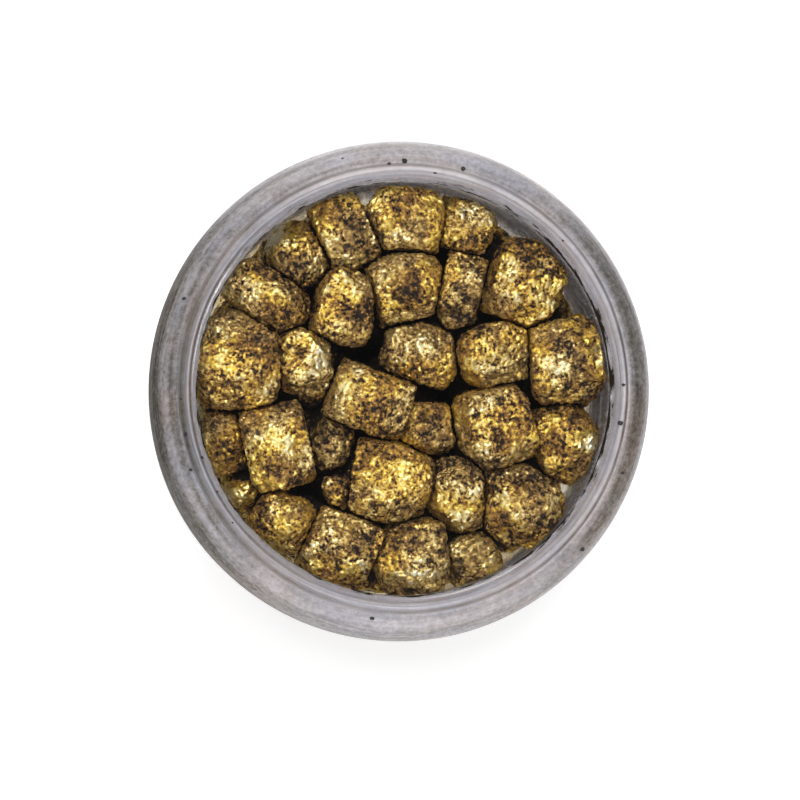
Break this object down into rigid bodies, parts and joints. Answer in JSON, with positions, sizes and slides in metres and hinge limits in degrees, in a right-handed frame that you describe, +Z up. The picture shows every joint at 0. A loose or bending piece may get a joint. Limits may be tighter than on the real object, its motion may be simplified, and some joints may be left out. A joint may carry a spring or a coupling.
{
  "type": "gold sample vial",
  "caption": "Thick-walled clear round vial, filled to the lip with chunky gold nuggets, closed by a clear screw lid with a raised rim over a seal ring.",
  "frame": {"origin": "centre of the base, on the surface that the vial stands on", "axes": "+Z up along the vial's axis, +Y towards the top of the view from above"},
  "size_m": [0.03, 0.03, 0.042],
  "materials": {
    "clear_plastic": "clear, glossy, slightly hazy",
    "lid_plastic": "clear window, satin hazy rim and skirt",
    "seal": "milky satin",
    "gold": "pitted, granular, bright on the high facets and dark in the pits"
  },
  "bodies": {
    "vial": {"vial_body": "clear_plastic", "nugget_01": "gold", "nugget_02": "gold", "nugget_03": "gold", "nugget_04": "gold", "nugget_05": "gold", "nugget_06": "gold", "nugget_07": "gold", "nugget_08": "gold", "nugget_09": "gold", "nugget_10": "gold", "nugget_11": "gold", "nugget_12": "gold", "nugget_13": "gold", "nugget_14": "gold", "nugget_15": "gold", "nugget_16": "gold", "nugget_17": "gold", "nugget_18": "gold", "nugget_19": "gold", "nugget_20": "gold", "nugget_21": "gold", "nugget_22": "gold", "nugget_23": "gold", "nugget_24": "gold", "nugget_25": "gold", "nugget_26": "gold", "nugget_27": "gold", "nugget_28": "gold", "nugget_29": "gold", "nugget_30": "gold", "nugget_layer_1": "gold", "nugget_layer_2": "gold", "nugget_layer_3": "gold", "nugget_layer_4": "gold", "nugget_layer_5": "gold", "nugget_layer_6": "gold", "nugget_layer_7": "gold"},
    "seal": {"seal_ring": "seal"},
    "lid": {"screw_lid": "lid_plastic"}
  },
  "joints": [
    {"name": "lid_rise", "type": "slide", "parent": "vial", "child": "seal", "axis": [0, 0, 1], "range_m": [0, 0.0105]},
    {"name": "lid_turn", "type": "hinge", "parent": "seal", "child": "lid", "pos_m": [0, 0, 0.0405], "axis": [0, 0, 1], "range_deg": [0, 1260]}
  ],
  "couplings": [
    {"joint": "lid_rise", "follows": "lid_turn", "m_per_rad": 0.00047746}
  ]
}
